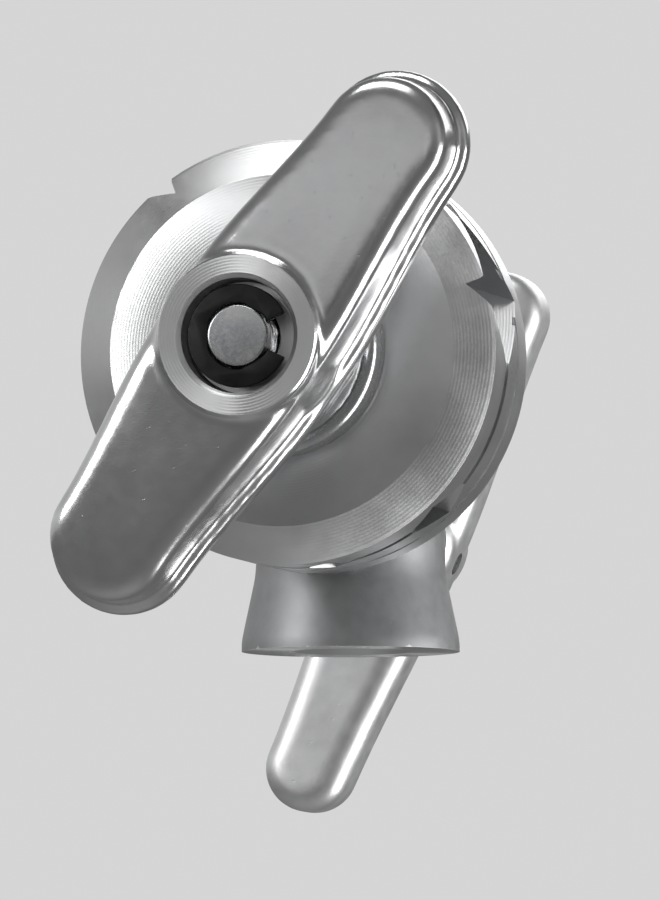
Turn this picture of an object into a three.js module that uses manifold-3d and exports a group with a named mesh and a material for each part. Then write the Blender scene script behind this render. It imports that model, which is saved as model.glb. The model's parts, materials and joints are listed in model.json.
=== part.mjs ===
// A grip head of the 2.5 inch class: a stud socket with a fixed plate, two grooved jaws on a cross
// bolt, a T-handle on a roller thrust bearing, and a screw with a wing that locks the stud.
// Millimetres, +Z up, the T-handle faces -Y. The origin is the centre of the socket's mouth.

import * as THREE from 'three';
import { mergeVertices } from 'three/addons/utils/BufferGeometryUtils.js';
import Module from 'manifold-3d';

const wasm = await Module();
wasm.setup();

// ---- driving dimensions ----

const FIT = 0.3; // gap between pieces that touch
const BOLT_HEIGHT = 42.5; // cross bolt's axis above the socket's mouth

// stud socket and casting
const STUD_BORE_RADIUS = 8.1;
const STUD_BORE_DEPTH = 31.5;
const MOUTH_CHAMFER = 1.2;
const COLLAR_RADIUS = 16.6;
const COLLAR_HEIGHT = 11;
const COLUMN_RADIUS = 14.4;
const COLUMN_TOP = 38.5;
const BOSS_RADIUS = 17;
const BOSS_REAR = -13; // along the bolt, forwards is positive
const PLATE_RADIUS = 30;
const PLATE_REAR = 13;
const PLATE_FRONT = 20;
const RIB_WIDTH = 8;
const RIB_BOTTOM = 13;
const RIB_TOP = 30;

// cross bolt
const BOLT_RADIUS = 4.9;
const BOLT_HOLE_RADIUS = 5.4;
const HEAD_ACROSS_FLATS = 16;
const HEAD_THICKNESS = 6.3;
const HEAD_POCKET_DEPTH = 7;

// jaws
const JAW_RADIUS = 31.75;
const JAW_THICKNESS = 12.5;
const JAW_GAP = 2; // the opening that an 8 mm shaft leaves
const JAW_TILT = -18; // degrees about the bolt, as set on the shaft
const JAW_EDGE = 1;
const JAW_DOME = { start: 15.5, slope: 12 }; // the front face bends back to this slope, in degrees
const JAW_CONE = { width: 5.5, slope: 35 }; // the wide chamfer round the dome
const CHANNELS = [
  { depth: 9.3, offset: 17.6, turn: 0 }, // 16 mm
  { depth: 7, offset: 16.5, turn: 90 }, // 12.7 mm
  { depth: 4.7, offset: 15.5, turn: 180 }, // 9.5 mm, and the 8 mm umbrella shaft
  { depth: 3, offset: 14, turn: 270 }, // 6.35 mm
];
const RELIEF = { inner: 10, outer: 23, depth: 0.8 };
const COUNTERBORE_DEPTH = 2;

// spring and alignment pins
const SPRING_POCKET_RADIUS = 7.5;
const SPRING_POCKET_DEPTH = 6;
const SPRING_RADIUS = 6.4;
const SPRING_WIRE_RADIUS = 0.6;
const SPRING_TURNS = 4.5;
const SPRING_SLACK = 1.7; // room for the jaws to close
const PIN_RADIUS = 1.5;
const PIN_DEPTH = 6;
const PIN_PLACES = [[8.2, -8.2], [-7.2, -8.4]];

// thrust bearing
const WASHER_RADIUS = 14;
const WASHER_THICKNESS = 1.6;
const ROLLER_RADIUS = 1.5;
const ROLLER_LENGTH = 3.8;
const ROLLER_CIRCLE = 11.1;
const ROLLER_COUNT = 8;
const CAGE = { inner: 7.4, outer: 14.1, thickness: 1.8 };
const COVER = { inner: 14.9, outer: 16.2, sheet: 1.4 };

// T-handle
const HANDLE_ANGLE = 54.5; // degrees from +X to its long axis
const HANDLE_LENGTH = 93;
const HANDLE_WIDTH = 28;
const HANDLE_END_WIDTH = 22;
const HANDLE_FRONT = 75;
const WING_THICKNESS = 16.5;
const WING_BEVEL = 3;
const WING_TAPER = 0.3; // share of its thickness that a wing loses at its tips
const HUB_RADIUS = 14.5;
const RECESS_RADIUS = 8.5;
const RECESS_DEPTH = 5.5;
const NUT_HEIGHT = 10;
const CLIP = { inner: 4.4, outer: 7.6, thickness: 1.2, opening: 50 };

// stud lock
const LOCK_HEIGHT = 19;
const LOCK_HEADING = 90; // degrees from +X towards the back
const LOCK_BOSS_RADIUS = 9.5;
const LOCK_BOSS_END = 24;
const LOCK_SCREW_RADIUS = 3.9;
const LOCK_HOLE_RADIUS = 4.3;
const LOCK_HUB_START = 33;
const LOCK_HUB_END = 47;
const LOCK_HUB_RADIUS = 8.5;
const LOCK_WING_TILT = 23.6;
const LOCK_WING = { length: 90, width: 17, endWidth: 13.5, thickness: 12, bevel: 3.5 };
const PAD = { radius: 3.4, start: 8.8, length: 3.2 };
const ROLL_PIN_RADIUS = 1.5;
const ROLL_PIN_BORE = 0.8;

// faces along the bolt, from the plate forwards
const MIDDLE_JAW_REAR = PLATE_FRONT + FIT;
const MIDDLE_JAW_FRONT = MIDDLE_JAW_REAR + JAW_THICKNESS;
const FRONT_JAW_REAR = MIDDLE_JAW_FRONT + JAW_GAP;
const FRONT_JAW_FRONT = FRONT_JAW_REAR + JAW_THICKNESS;
const INNER_WASHER_REAR = FRONT_JAW_FRONT - COUNTERBORE_DEPTH + FIT;
const ROLLER_AXIS = INNER_WASHER_REAR + WASHER_THICKNESS + FIT + ROLLER_RADIUS;
const OUTER_WASHER_REAR = ROLLER_AXIS + ROLLER_RADIUS + FIT;
const COVER_INSIDE = OUTER_WASHER_REAR + WASHER_THICKNESS + FIT;
const HANDLE_REAR = COVER_INSIDE + COVER.sheet + FIT;
const RECESS_FLOOR = HANDLE_FRONT - RECESS_DEPTH;
const CLIP_REAR = HANDLE_FRONT - 2.2;
const BOLT_END = HANDLE_FRONT - 0.4;

// ---- materials ----

const metal = (color, roughness, metalness = 1) =>
  new THREE.MeshStandardMaterial({ color, roughness, metalness });

const castSilver = metal(0xc4c6c8, 0.32);
const machinedSilver = metal(0xd2d3d4, 0.24);
const steel = metal(0xa9abae, 0.3);
const hardenedSteel = metal(0x8f9296, 0.25);
const blackSteel = metal(0x151515, 0.5, 0.6);
const brass = metal(0xb8923f, 0.35);

// ---- geometry helpers ----

const radians = THREE.MathUtils.degToRad;

// A closed geometry as a manifold-3d solid.
function solid(geometry) {
  const bare = geometry.clone();
  bare.deleteAttribute('normal');
  bare.deleteAttribute('uv');
  const merged = mergeVertices(bare, 1e-4);
  const triangles = [];
  const index = merged.index.array;
  for (let i = 0; i < index.length; i += 3) {
    const [a, b, c] = [index[i], index[i + 1], index[i + 2]];
    if (a !== b && b !== c && c !== a) triangles.push(a, b, c);
  }
  return new wasm.Manifold(new wasm.Mesh({
    numProp: 3,
    vertProperties: Float32Array.from(merged.attributes.position.array),
    triVerts: Uint32Array.from(triangles),
  }));
}

// A manifold-3d solid as a geometry.
function geometryOf(body) {
  const { vertProperties, triVerts } = body.getMesh();
  const geometry = new THREE.BufferGeometry();
  geometry.setAttribute('position', new THREE.BufferAttribute(vertProperties, 3));
  geometry.setIndex(new THREE.BufferAttribute(triVerts, 1));
  geometry.computeVertexNormals();
  return geometry;
}

const join = (first, ...others) =>
  geometryOf(others.reduce((body, other) => body.add(solid(other)), solid(first)));
const cut = (first, ...others) =>
  geometryOf(others.reduce((body, other) => body.subtract(solid(other)), solid(first)));
const meet = (first, other) => geometryOf(solid(first).intersect(solid(other)));

// A solid of revolution about Z from its outline of [radius, z] points, listed upwards.
function turned(outline, segments = 48) {
  const points = outline.map(([radius, z]) => new THREE.Vector2(radius, z));
  return new THREE.LatheGeometry(points, segments).rotateX(Math.PI / 2);
}

const rod = (radius, bottom, top, segments = 28) =>
  turned([[0, bottom], [radius, bottom], [radius, top], [0, top]], segments);

const ring = (inner, outer, bottom, top, segments = 48) =>
  turned([[inner, bottom], [outer, bottom], [outer, top], [inner, top], [inner, bottom]], segments);

// Points of a quarter ellipse from the side of a disc to its upper face.
function roundedEdge(radius, top, inwards, downwards, steps = 4) {
  const points = [];
  for (let i = 0; i <= steps; i += 1) {
    const angle = (i / steps) * (Math.PI / 2);
    const across = inwards * (1 - Math.cos(angle));
    points.push([radius - across, top - downwards * (1 - Math.sin(angle))]);
  }
  return points;
}

// Points from the side of a disc over a wide chamfer to a face that domes up to the dome's start.
function domedFace(radius, top, dome, cone) {
  const steps = 4;
  const tilt = radians(dome.slope);
  const inner = radius - cone.width;
  const sweep = (inner - dome.start) / Math.sin(tilt);
  const edge = top - sweep * (1 - Math.cos(tilt));
  const outer = edge - (cone.width - JAW_EDGE / 2) * Math.tan(radians(cone.slope));
  const points = [[radius, outer - JAW_EDGE / 2], [radius - JAW_EDGE / 2, outer]];
  for (let i = steps; i >= 0; i -= 1) {
    const angle = (i / steps) * tilt;
    points.push([dome.start + sweep * Math.sin(angle), top - sweep * (1 - Math.cos(angle))]);
  }
  return points;
}

function prism(shape, bottom, top, bevel = 0) {
  const geometry = new THREE.ExtrudeGeometry(shape, {
    depth: top - bottom - 2 * bevel,
    bevelEnabled: bevel > 0,
    bevelThickness: bevel,
    bevelSize: bevel,
    bevelOffset: -bevel,
    bevelSegments: 3,
    curveSegments: 8,
  });
  return geometry.translate(0, 0, bottom + bevel);
}

function hexagon(acrossFlats) {
  const shape = new THREE.Shape();
  const radius = acrossFlats / Math.sqrt(3);
  for (let i = 0; i < 6; i += 1) {
    const angle = (i * Math.PI) / 3;
    const [x, y] = [radius * Math.cos(angle), radius * Math.sin(angle)];
    if (i === 0) shape.moveTo(x, y);
    else shape.lineTo(x, y);
  }
  return shape;
}

// An oblong with round ends whose sides swell to the full width at the middle.
function oblong(length, width, endWidth) {
  const radius = endWidth / 2;
  const reach = length / 2 - radius;
  const swell = radius + ((width / 2 - radius) * 4) / 3;
  const shape = new THREE.Shape();
  shape.moveTo(reach, -radius);
  shape.absarc(reach, 0, radius, -Math.PI / 2, Math.PI / 2);
  shape.bezierCurveTo(reach / 3, swell, -reach / 3, swell, -reach, radius);
  shape.absarc(-reach, 0, radius, Math.PI / 2, (3 * Math.PI) / 2);
  shape.bezierCurveTo(-reach / 3, -swell, reach / 3, -swell, reach, -radius);
  return shape;
}

// Thins a wing towards its tips, where |x| is half its length, and keeps its rear face flat.
function tapered(geometry, length, rear) {
  const places = geometry.attributes.position;
  for (let i = 0; i < places.count; i += 1) {
    const reach = places.getX(i) / (length / 2);
    places.setZ(i, rear + (places.getZ(i) - rear) * (1 - WING_TAPER * reach * reach));
  }
  return geometry;
}

const piece = (name, geometry, material) => {
  const mesh = new THREE.Mesh(geometry, material.clone());
  mesh.name = name;
  return mesh;
};

// ---- casting ----

const alongBolt = (geometry) => geometry.rotateX(Math.PI / 2).translate(0, 0, BOLT_HEIGHT);
const alongLock = (geometry) =>
  geometry.rotateY(Math.PI / 2).rotateZ(radians(LOCK_HEADING)).translate(0, 0, LOCK_HEIGHT);

function baseCasting() {
  const column = turned([
    [0, 0], [COLLAR_RADIUS - 0.8, 0], [COLLAR_RADIUS, 0.8], [COLLAR_RADIUS - 0.2, 2.4],
    [COLUMN_RADIUS, COLLAR_HEIGHT], ...roundedEdge(COLUMN_RADIUS, COLUMN_TOP, 6, 6), [0, COLUMN_TOP],
  ]);
  const boss = alongBolt(turned([
    [0, BOSS_REAR], [BOSS_RADIUS - 2, BOSS_REAR], [BOSS_RADIUS, BOSS_REAR + 2], [BOSS_RADIUS, 4],
    [BOSS_RADIUS + 2, 9], [BOSS_RADIUS + 7, PLATE_REAR - 0.6], [PLATE_RADIUS - 2, PLATE_REAR],
    [PLATE_RADIUS, PLATE_REAR + 2], [PLATE_RADIUS, PLATE_FRONT - 0.6],
    [PLATE_RADIUS - 0.6, PLATE_FRONT], [0, PLATE_FRONT],
  ], 72));
  const ribOutline = new THREE.Shape([
    new THREE.Vector2(0, RIB_BOTTOM), new THREE.Vector2(-COLUMN_RADIUS + 0.4, RIB_BOTTOM),
    new THREE.Vector2(-PLATE_FRONT + 1, RIB_BOTTOM + 4), new THREE.Vector2(-PLATE_FRONT + 1, RIB_TOP),
    new THREE.Vector2(0, RIB_TOP),
  ]);
  const rib = prism(ribOutline, -RIB_WIDTH / 2, RIB_WIDTH / 2)
    .applyMatrix4(new THREE.Matrix4().makeBasis(
      new THREE.Vector3(0, 1, 0), new THREE.Vector3(0, 0, 1), new THREE.Vector3(1, 0, 0)));
  const lockBoss = alongLock(turned([
    [0, 0], [LOCK_BOSS_RADIUS, 0], [LOCK_BOSS_RADIUS, LOCK_BOSS_END - 1],
    [LOCK_BOSS_RADIUS - 1, LOCK_BOSS_END], [0, LOCK_BOSS_END],
  ], 48));
  const bore = turned([
    [0, -1], [STUD_BORE_RADIUS + MOUTH_CHAMFER + 1, -1], [STUD_BORE_RADIUS, MOUTH_CHAMFER],
    [STUD_BORE_RADIUS, STUD_BORE_DEPTH], [0, STUD_BORE_DEPTH],
  ]);
  return cut(
    join(column, boss, rib, lockBoss),
    bore,
    alongBolt(rod(BOLT_HOLE_RADIUS, BOSS_REAR - 1, PLATE_FRONT + 1)),
    alongBolt(prism(hexagon(HEAD_ACROSS_FLATS + 2 * FIT), BOSS_REAR - 1, BOSS_REAR + HEAD_POCKET_DEPTH)),
    alongLock(rod(LOCK_HOLE_RADIUS, 4, LOCK_BOSS_END + 1)),
  );
}

// ---- pieces on the bolt, whose local Z is the bolt's axis, forwards ----

function mainBolt() {
  const headFront = BOSS_REAR + HEAD_POCKET_DEPTH - FIT;
  const headRear = headFront - HEAD_THICKNESS;
  const corner = HEAD_ACROSS_FLATS / Math.sqrt(3);
  const head = meet(
    prism(hexagon(HEAD_ACROSS_FLATS), headRear, headFront),
    turned([[0, headRear], [corner - 1.2, headRear], [corner, headRear + 1], [corner, headFront],
      [0, headFront]]),
  );
  const shank = turned([
    [0, headFront - 1], [BOLT_RADIUS, headFront - 1], [BOLT_RADIUS, CLIP_REAR - FIT],
    [CLIP.inner - FIT, CLIP_REAR - FIT], [CLIP.inner - FIT, CLIP_REAR + CLIP.thickness + FIT],
    [BOLT_RADIUS - 0.4, CLIP_REAR + CLIP.thickness + FIT], [BOLT_RADIUS - 0.4, BOLT_END - 0.1],
    [BOLT_RADIUS - 0.5, BOLT_END], [0, BOLT_END],
  ], 32);
  return join(head, shank);
}

function retainingClip() {
  const opening = radians(CLIP.opening / 2);
  const shape = new THREE.Shape();
  shape.absarc(0, 0, CLIP.outer, opening, 2 * Math.PI - opening, false);
  shape.absarc(0, 0, CLIP.inner, 2 * Math.PI - opening, opening, true);
  return prism(shape, CLIP_REAR, CLIP_REAR + CLIP.thickness);
}

// V-shaped cutters for the four channels, sunk from z = face in the direction of `into`.
function channelCutters(face, into) {
  return CHANNELS.map(({ depth, offset, turn }) => {
    const over = 1;
    const section = new THREE.Shape([
      new THREE.Vector2(-depth - over, -over), new THREE.Vector2(depth + over, -over),
      new THREE.Vector2(0, depth),
    ]);
    return prism(section, -JAW_RADIUS - 2, JAW_RADIUS + 2)
      .applyMatrix4(new THREE.Matrix4().makeBasis(
        new THREE.Vector3(0, 1, 0), new THREE.Vector3(0, 0, 1), new THREE.Vector3(1, 0, 0)))
      .rotateX(into > 0 ? 0 : Math.PI)
      .translate(0, offset, face)
      .rotateZ(radians(turn));
  });
}

const pinHoles = (bottom, top) =>
  PIN_PLACES.map(([x, y]) => rod(PIN_RADIUS + FIT, bottom, top, 20).translate(x, y, 0));

function middleJaw() {
  const [rear, front] = [MIDDLE_JAW_REAR, MIDDLE_JAW_FRONT];
  const disc = turned([
    [0, rear], [JAW_RADIUS - JAW_EDGE, rear], [JAW_RADIUS, rear + JAW_EDGE],
    [JAW_RADIUS, front - JAW_EDGE], [JAW_RADIUS - JAW_EDGE, front], [0, front],
  ], 72);
  return cut(
    disc,
    ...channelCutters(front, -1),
    rod(BOLT_HOLE_RADIUS, rear - 1, front + 1),
    rod(SPRING_POCKET_RADIUS, front - SPRING_POCKET_DEPTH, front + 1),
    ring(RELIEF.inner, RELIEF.outer, rear - 1, rear + RELIEF.depth),
    ...pinHoles(front - PIN_DEPTH, front + 1),
  );
}

function frontJaw() {
  const [rear, front] = [FRONT_JAW_REAR, FRONT_JAW_FRONT];
  const disc = turned([
    [0, rear], [JAW_RADIUS - JAW_EDGE, rear], [JAW_RADIUS, rear + JAW_EDGE],
    ...domedFace(JAW_RADIUS, front, JAW_DOME, JAW_CONE), [0, front],
  ], 72);
  return cut(
    disc,
    ...channelCutters(rear, 1),
    rod(BOLT_HOLE_RADIUS, rear - 1, front + 1),
    rod(SPRING_POCKET_RADIUS, rear - 1, rear + SPRING_POCKET_DEPTH),
    rod(WASHER_RADIUS + 0.5, front - COUNTERBORE_DEPTH, front + 1, 48),
    ...pinHoles(rear - 1, rear + PIN_DEPTH),
  );
}

// The pins reach into the front jaw with room left for the jaws to close.
function alignmentPin() {
  const bottom = MIDDLE_JAW_FRONT - PIN_DEPTH + FIT;
  const top = FRONT_JAW_REAR + PIN_DEPTH - SPRING_SLACK - FIT;
  return turned([
    [0, bottom], [PIN_RADIUS, bottom], [PIN_RADIUS, top - 0.5], [PIN_RADIUS - 0.5, top], [0, top],
  ], 20);
}

class Helix extends THREE.Curve {
  constructor(radius, bottom, top, turns) {
    super();
    Object.assign(this, { radius, bottom, top, turns });
  }

  getPoint(t, target = new THREE.Vector3()) {
    const angle = 2 * Math.PI * this.turns * t;
    const z = this.bottom + (this.top - this.bottom) * t;
    return target.set(this.radius * Math.cos(angle), this.radius * Math.sin(angle), z);
  }
}

function jawSpring() {
  const bottom = MIDDLE_JAW_FRONT - SPRING_POCKET_DEPTH + FIT + SPRING_WIRE_RADIUS;
  const top = FRONT_JAW_REAR + SPRING_POCKET_DEPTH - SPRING_SLACK - SPRING_WIRE_RADIUS;
  const wire = new THREE.Shape();
  wire.absarc(0, 0, SPRING_WIRE_RADIUS, 0, 2 * Math.PI);
  return new THREE.ExtrudeGeometry(wire, {
    steps: Math.round(SPRING_TURNS * 16),
    curveSegments: 3,
    bevelEnabled: false,
    extrudePath: new Helix(SPRING_RADIUS, bottom, top, SPRING_TURNS),
  });
}

const thrustWasher = (rear) =>
  ring(BOLT_HOLE_RADIUS + 0.2, WASHER_RADIUS, rear, rear + WASHER_THICKNESS);

const rollerAngle = (i) => (i / ROLLER_COUNT) * 2 * Math.PI;

function bearingCage() {
  const half = CAGE.thickness / 2;
  const slots = [];
  for (let i = 0; i < ROLLER_COUNT; i += 1) {
    slots.push(new THREE.BoxGeometry(ROLLER_LENGTH + 2 * FIT, 2 * (ROLLER_RADIUS + FIT), 4)
      .translate(ROLLER_CIRCLE, 0, ROLLER_AXIS).rotateZ(rollerAngle(i)));
  }
  return cut(ring(CAGE.inner, CAGE.outer, ROLLER_AXIS - half, ROLLER_AXIS + half), ...slots);
}

const thrustRoller = (i) =>
  rod(ROLLER_RADIUS, -ROLLER_LENGTH / 2, ROLLER_LENGTH / 2, 16)
    .rotateY(Math.PI / 2).translate(ROLLER_CIRCLE, 0, ROLLER_AXIS).rotateZ(rollerAngle(i));

function bearingCover() {
  const [inside, outside] = [COVER_INSIDE, COVER_INSIDE + COVER.sheet];
  return turned([
    [BOLT_HOLE_RADIUS + 0.4, inside], [COVER.inner, inside], [COVER.inner, FRONT_JAW_FRONT + 0.5],
    [COVER.outer, FRONT_JAW_FRONT + 0.5], [COVER.outer, outside - 1], [COVER.outer - 1, outside],
    [BOLT_HOLE_RADIUS + 0.4, outside], [BOLT_HOLE_RADIUS + 0.4, inside],
  ]);
}

function tHandle() {
  const hub = turned([
    [0, HANDLE_REAR], [HUB_RADIUS - 0.6, HANDLE_REAR], [HUB_RADIUS, HANDLE_REAR + 0.6],
    [HUB_RADIUS - 1, HANDLE_REAR + 7], ...roundedEdge(HUB_RADIUS - 2.5, HANDLE_FRONT, 2.5, 3),
    [0, HANDLE_FRONT],
  ]);
  const outline = oblong(HANDLE_LENGTH, HANDLE_WIDTH, HANDLE_END_WIDTH);
  const [wingRear, wingFront] = [HANDLE_FRONT - 1 - WING_THICKNESS, HANDLE_FRONT - 1];
  const wing = tapered(prism(outline, wingRear, wingFront, WING_BEVEL), HANDLE_LENGTH, wingRear);
  return cut(
    join(hub, wing),
    prism(hexagon(HEAD_ACROSS_FLATS + 2 * FIT), HANDLE_REAR - 1, HANDLE_REAR + 2 * FIT + NUT_HEIGHT),
    rod(BOLT_HOLE_RADIUS, HANDLE_REAR, HANDLE_FRONT + 1),
    rod(RECESS_RADIUS, RECESS_FLOOR, HANDLE_FRONT + 1),
  );
}

const handleNut = () => cut(
  prism(hexagon(HEAD_ACROSS_FLATS), HANDLE_REAR + FIT, HANDLE_REAR + FIT + NUT_HEIGHT),
  rod(BOLT_RADIUS + FIT, HANDLE_REAR - 1, HANDLE_REAR + NUT_HEIGHT + 2),
);

// ---- stud lock, whose local Z is the screw's axis, outwards ----

const LOCK_HUB_MIDDLE = (LOCK_HUB_START + LOCK_HUB_END) / 2;
const rollPinHole = () =>
  rod(ROLL_PIN_RADIUS + FIT, -LOCK_HUB_RADIUS - 2, LOCK_HUB_RADIUS + 2, 20)
    .rotateX(Math.PI / 2).translate(0, 0, LOCK_HUB_MIDDLE);

function studLockScrew() {
  const start = PAD.start + PAD.length + FIT;
  const end = LOCK_HUB_END - 3 - FIT;
  const blank = turned([
    [0, start], [LOCK_SCREW_RADIUS - 0.8, start], [LOCK_SCREW_RADIUS, start + 0.8],
    [LOCK_SCREW_RADIUS, end], [0, end],
  ], 32);
  return cut(blank, rollPinHole());
}

function studLockWing() {
  const hub = turned([
    [0, LOCK_HUB_START], [LOCK_HUB_RADIUS - 1.5, LOCK_HUB_START],
    [LOCK_HUB_RADIUS, LOCK_HUB_START + 1.5], ...roundedEdge(LOCK_HUB_RADIUS, LOCK_HUB_END, 2, 2),
    [0, LOCK_HUB_END],
  ], 48);
  const { length, width, endWidth, thickness, bevel } = LOCK_WING;
  const wing = prism(
    oblong(length, width, endWidth),
    LOCK_HUB_MIDDLE - thickness / 2, LOCK_HUB_MIDDLE + thickness / 2, bevel);
  return cut(join(hub, wing), rod(LOCK_HOLE_RADIUS, LOCK_HUB_START - 1, LOCK_HUB_END - 3), rollPinHole());
}

function studLockPin() {
  const half = LOCK_HUB_RADIUS - 0.5;
  const wall = ROLL_PIN_RADIUS - ROLL_PIN_BORE;
  const slot = new THREE.BoxGeometry(2 * wall + 1, 0.6, 2 * half + 2).translate(ROLL_PIN_RADIUS, 0, 0);
  return cut(ring(ROLL_PIN_BORE, ROLL_PIN_RADIUS, -half, half, 20), slot)
    .rotateX(Math.PI / 2).translate(0, 0, LOCK_HUB_MIDDLE);
}

function studPad() {
  const { radius, start, length } = PAD;
  return turned([
    [0, start], [radius - 0.5, start], [radius, start + 0.5], [radius, start + length],
    [0, start + length],
  ], 32);
}

// ---- assembly ----

function group(rotation, ...children) {
  const parent = new THREE.Group();
  parent.rotation.set(...rotation.map(radians));
  parent.add(...children);
  return parent;
}

const rollers = [];
for (let i = 0; i < ROLLER_COUNT; i += 1) {
  rollers.push(piece(`thrust_roller_${i + 1}`, thrustRoller(i), hardenedSteel));
}

const pins = PIN_PLACES.map(([x, y], i) => {
  const pin = piece(`alignment_pin_${i + 1}`, alignmentPin(), steel);
  pin.position.set(x, y, 0);
  return pin;
});

const jaws = group([0, 0, JAW_TILT],
  piece('middle_jaw', middleJaw(), machinedSilver),
  ...pins,
  piece('jaw_spring', jawSpring(), steel),
  piece('front_jaw', frontJaw(), castSilver),
);

const handle = group([0, 0, HANDLE_ANGLE],
  piece('t_handle', tHandle(), castSilver),
  piece('handle_nut', handleNut(), steel),
);

const onBolt = group([90, 0, 0],
  piece('main_bolt', mainBolt(), steel),
  piece('retaining_clip', retainingClip(), blackSteel),
  jaws,
  piece('thrust_washer_inner', thrustWasher(INNER_WASHER_REAR), hardenedSteel),
  piece('bearing_cage', bearingCage(), brass),
  ...rollers,
  piece('thrust_washer_outer', thrustWasher(OUTER_WASHER_REAR), hardenedSteel),
  piece('bearing_cover', bearingCover(), steel),
  handle,
);
onBolt.position.z = BOLT_HEIGHT;

const lockWing = group([0, 0, LOCK_WING_TILT],
  piece('stud_lock_screw', studLockScrew(), steel),
  piece('stud_lock_wing', studLockWing(), castSilver),
  piece('stud_lock_pin', studLockPin(), steel),
  piece('stud_pad', studPad(), brass),
);
const studLock = group([0, 0, LOCK_HEADING], group([0, 90, 0], lockWing));
studLock.position.z = LOCK_HEIGHT;

const gripHead = new THREE.Group();
gripHead.name = 'grip_head';
gripHead.add(piece('base_casting', baseCasting(), castSilver), onBolt, studLock);

export default gripHead;
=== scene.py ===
# The look of a 63.5 mm grip head: turned jaws, fused castings, cut threads and studio light.
# Shapes are made in millimetres in the frame of their own axis, then set into the CAD's frame.

import json
import math

import bmesh
import bpy
from mathutils import Matrix, Vector


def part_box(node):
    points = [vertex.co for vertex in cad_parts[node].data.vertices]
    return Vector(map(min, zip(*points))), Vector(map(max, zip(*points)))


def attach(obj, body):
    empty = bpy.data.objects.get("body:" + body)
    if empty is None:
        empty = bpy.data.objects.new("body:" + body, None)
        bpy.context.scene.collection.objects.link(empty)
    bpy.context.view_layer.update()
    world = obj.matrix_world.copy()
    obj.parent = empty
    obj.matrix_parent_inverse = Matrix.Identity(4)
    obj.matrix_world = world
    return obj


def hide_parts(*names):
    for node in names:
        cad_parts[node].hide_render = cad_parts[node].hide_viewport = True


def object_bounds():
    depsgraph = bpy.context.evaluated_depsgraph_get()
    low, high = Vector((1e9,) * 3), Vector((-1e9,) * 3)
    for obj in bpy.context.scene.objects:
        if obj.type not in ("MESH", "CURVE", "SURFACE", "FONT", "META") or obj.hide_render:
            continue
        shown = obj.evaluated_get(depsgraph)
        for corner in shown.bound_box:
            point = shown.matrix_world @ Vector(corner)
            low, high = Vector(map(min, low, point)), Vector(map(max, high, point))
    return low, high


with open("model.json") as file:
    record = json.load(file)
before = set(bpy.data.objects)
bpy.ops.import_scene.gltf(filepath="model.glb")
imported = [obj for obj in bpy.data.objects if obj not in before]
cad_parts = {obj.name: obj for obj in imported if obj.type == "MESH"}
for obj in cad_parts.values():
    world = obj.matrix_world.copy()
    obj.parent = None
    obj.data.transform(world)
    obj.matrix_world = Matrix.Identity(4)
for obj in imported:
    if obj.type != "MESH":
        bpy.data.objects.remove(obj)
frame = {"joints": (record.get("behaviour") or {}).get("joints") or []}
CAD_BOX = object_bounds()

MM = 0.001
TAU = 2 * math.pi


# ---- places, read from the frame ----

JOINTS = {joint["name"]: joint for joint in frame["joints"]}


def forward_span(node):
    """A node's rear and front along the bolt, in millimetres in front of the socket's axis."""
    low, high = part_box(node)
    return -high[1] / MM, -low[1] / MM


def radius_of(node):
    low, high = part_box(node)
    return (high[2] - low[2]) / 2 / MM


BOLT_HEIGHT = JOINTS["jaw_turn"]["pos_m"][2] / MM
LOCK_HEIGHT = JOINTS["lock_turn"]["pos_m"][2] / MM
LOCK_AXIS = -Vector(JOINTS["lock_turn"]["axis"])
LOCK_HEADING = math.atan2(LOCK_AXIS.y, LOCK_AXIS.x)

# how far each set is turned about its own axis, in degrees
JAW_TILT = -18
HANDLE_ANGLE = 54.5
LOCK_WING_TILT = 23.6

UPRIGHT = Matrix.Scale(MM, 4)
BOLT = UPRIGHT @ Matrix.Translation((0, 0, BOLT_HEIGHT)) @ Matrix.Rotation(math.pi / 2, 4, "X")
JAWS = BOLT @ Matrix.Rotation(math.radians(JAW_TILT), 4, "Z")
HANDLE = BOLT @ Matrix.Rotation(math.radians(HANDLE_ANGLE), 4, "Z")
LOCK = (
    UPRIGHT
    @ Matrix.Translation((0, 0, LOCK_HEIGHT))
    @ Matrix.Rotation(LOCK_HEADING, 4, "Z")
    @ Matrix.Rotation(math.pi / 2, 4, "Y")
    @ Matrix.Rotation(math.radians(LOCK_WING_TILT), 4, "Z")
)

# ---- sizes in millimetres ----

SLACK = 0.3  # gap round a piece that is pushed in or turns
PAST = 2  # how far most cutting tools reach past the face they cut

PLATE_RADIUS = 30
PLATE_REAR = 13
PLATE_FRONT = forward_span("base_casting")[1]
BOSS_RADIUS = 17
BOSS_REAR = -13
COLLAR_RADIUS = 16.6
COLLAR_HEIGHT = 11
COLUMN_RADIUS = 14.4
COLUMN_TOP = 38.5
RIB_WIDTH = 8
RIB_BOTTOM = 13
RIB_TOP = 30
STUD_BORE_RADIUS = 8.1
STUD_BORE_DEPTH = 31.5
HEX_ACROSS_FLATS = 16
HEAD_POCKET_DEPTH = 7
BOLT_RADIUS = 4.9
BOLT_HOLE_RADIUS = 5.4
BOLT_PITCH = 1.5
BOLT_THREAD_START = 45.5
CLIP = (4.4, 7.6)  # inner and outer radius

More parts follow.
